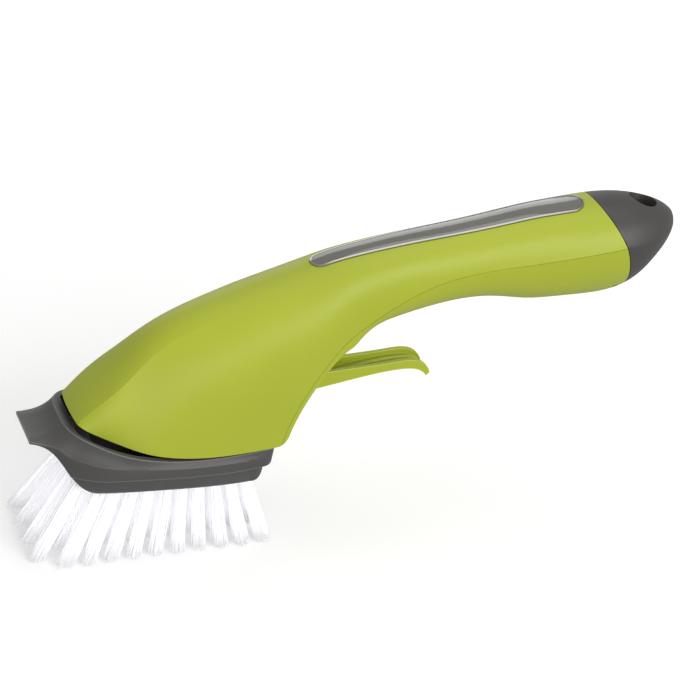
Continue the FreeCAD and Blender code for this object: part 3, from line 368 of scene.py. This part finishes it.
def add_filament(verts, faces, start, end, bow):
    """A tube from start to end that bows to one side."""
    axis = (end - start).normalized()
    side = axis.orthogonal().normalized()
    other = axis.cross(side)
    first = len(verts)
    for ring in range(FILAMENT_RINGS):
        share = ring / (FILAMENT_RINGS - 1)
        centre = start.lerp(end, share) + bow * math.sin(math.pi * share)
        for corner in range(FILAMENT_SIDES):
            angle = 2 * math.pi * corner / FILAMENT_SIDES
            verts.append(centre + (side * math.cos(angle) + other * math.sin(angle)) * FILAMENT_RADIUS)
    for ring in range(FILAMENT_RINGS - 1):
        here = first + ring * FILAMENT_SIDES
        there = here + FILAMENT_SIDES
        for corner in range(FILAMENT_SIDES):
            after = (corner + 1) % FILAMENT_SIDES
            faces.append((here + corner, here + after, there + after, there + corner))
    last = first + (FILAMENT_RINGS - 1) * FILAMENT_SIDES
    faces.append(tuple(reversed(range(first, first + FILAMENT_SIDES))))
    faces.append(tuple(range(last, last + FILAMENT_SIDES)))


def fill_tuft(verts, faces, base, tip, dice):
    """The filaments of one tuft, splayed from its root to uneven tips."""
    axis = (tip - base).normalized()
    side = axis.orthogonal().normalized()
    other = axis.cross(side)
    splay = dice.uniform(SPLAY_LEAST, SPLAY_MOST)
    for a, b in disc_spots(FILAMENTS_PER_TUFT, dice):
        start = base + (side * a + other * b) * ROOT_SPREAD
        target = tip + (side * a + other * b) * TIP_SPREAD * splay
        way = (target - start).normalized()
        height = TIP_LIFT + FILAMENT_RADIUS + abs(dice.gauss(0, 1)) * TIP_UNEVEN / 2
        end = start + way * ((start.z - height) / -way.z)
        bow = (side * dice.uniform(-1, 1) + other * dice.uniform(-1, 1)) * FILAMENT_BOW
        add_filament(verts, faces, start, end, bow)


bristles = bpy.data.collections.new("bristles")


def dress_tufts(node_name, seed):
    """Nylon filaments in place of one group of plain tufts."""
    dice = random.Random(seed)
    verts = []
    faces = []
    plain = islands(nodes[node_name].data)
    for points in sorted(plain, key=lambda group: tuple(min(group, key=lambda p: p.z))):
        base, tip = tuft_axis(points)
        fill_tuft(verts, faces, base, tip, dice)
    mesh = bpy.data.meshes.new(node_name + "_filaments")
    mesh.from_pydata(verts, [], faces)
    for polygon in mesh.polygons:
        polygon.use_smooth = len(polygon.vertices) != FILAMENT_SIDES
    mesh.materials.append(nylon)
    piece = add_object(node_name + "_filaments", mesh)
    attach(piece, "brush_head")
    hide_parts(node_name)
    bristles.objects.link(piece)


for seed, name in enumerate(TUFT_GROUPS, start=1):
    dress_tufts(name, seed)


def dress_spring():
    """The return spring again, as a steel coil with a mesh of its own, riding on the handle."""
    mesh = nodes["return_spring"].data.copy()
    mesh.materials.clear()
    mesh.materials.append(steel)
    coil = add_object("return_spring_coil", mesh)
    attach(coil, "handle")
    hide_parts("return_spring")
    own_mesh(coil)


dress_spring()

# Floor, which throws no light back on the part
floor_mesh = bpy.data.meshes.new("floor")
corners = [(x * FLOOR_HALF, y * FLOOR_HALF, 0) for x, y in ((-1, -1), (1, -1), (1, 1), (-1, 1))]
floor_mesh.from_pydata(corners, [], [(0, 1, 2, 3)])
floor_mesh.materials.append(pale)
floor = add_object("floor", floor_mesh)
floor.visible_diffuse = False
floor.visible_glossy = False

# Light
world = bpy.data.worlds.new("studio")
bpy.context.scene.world = world
world.use_nodes = True
world.node_tree.nodes["Background"].inputs["Color"].default_value = PURE_WHITE
world.node_tree.nodes["Background"].inputs["Strength"].default_value = WORLD_STRENGTH


def softbox(name, place, aim, size, watts):
    light = bpy.data.lights.new(name, "AREA")
    light.shape = "RECTANGLE"
    light.size, light.size_y = size
    light.energy = watts
    lamp = add_object(name, light)
    lamp.location = place
    lamp.rotation_mode = "QUATERNION"
    lamp.rotation_quaternion = (Vector(aim) - Vector(place)).to_track_quat("-Z", "Y")
    return lamp


for name, setting in SOFTBOXES.items():
    softbox(name, *setting)

# Nylon passes light on from filament to filament, so the bristles have fills of their own, which nothing
# shades.
for name, setting in BRISTLE_FILLS.items():
    fill = softbox(name, *setting)
    fill.data.use_shadow = False
    fill.light_linking.receiver_collection = bristles

# Camera
lens = bpy.data.cameras.new("camera")
lens.lens = CAMERA_LENS
lens.sensor_width = SENSOR_WIDTH
camera = add_object("camera", lens)
camera.location = CAMERA_AT
camera.rotation_mode = "QUATERNION"
look = (CAMERA_TO - CAMERA_AT).to_track_quat("-Z", "Y")
camera.rotation_quaternion = look @ Quaternion((0, 0, 1), math.radians(CAMERA_ROLL_DEG))
bpy.context.scene.camera = camera
bpy.context.scene.view_settings.view_transform = "Standard"
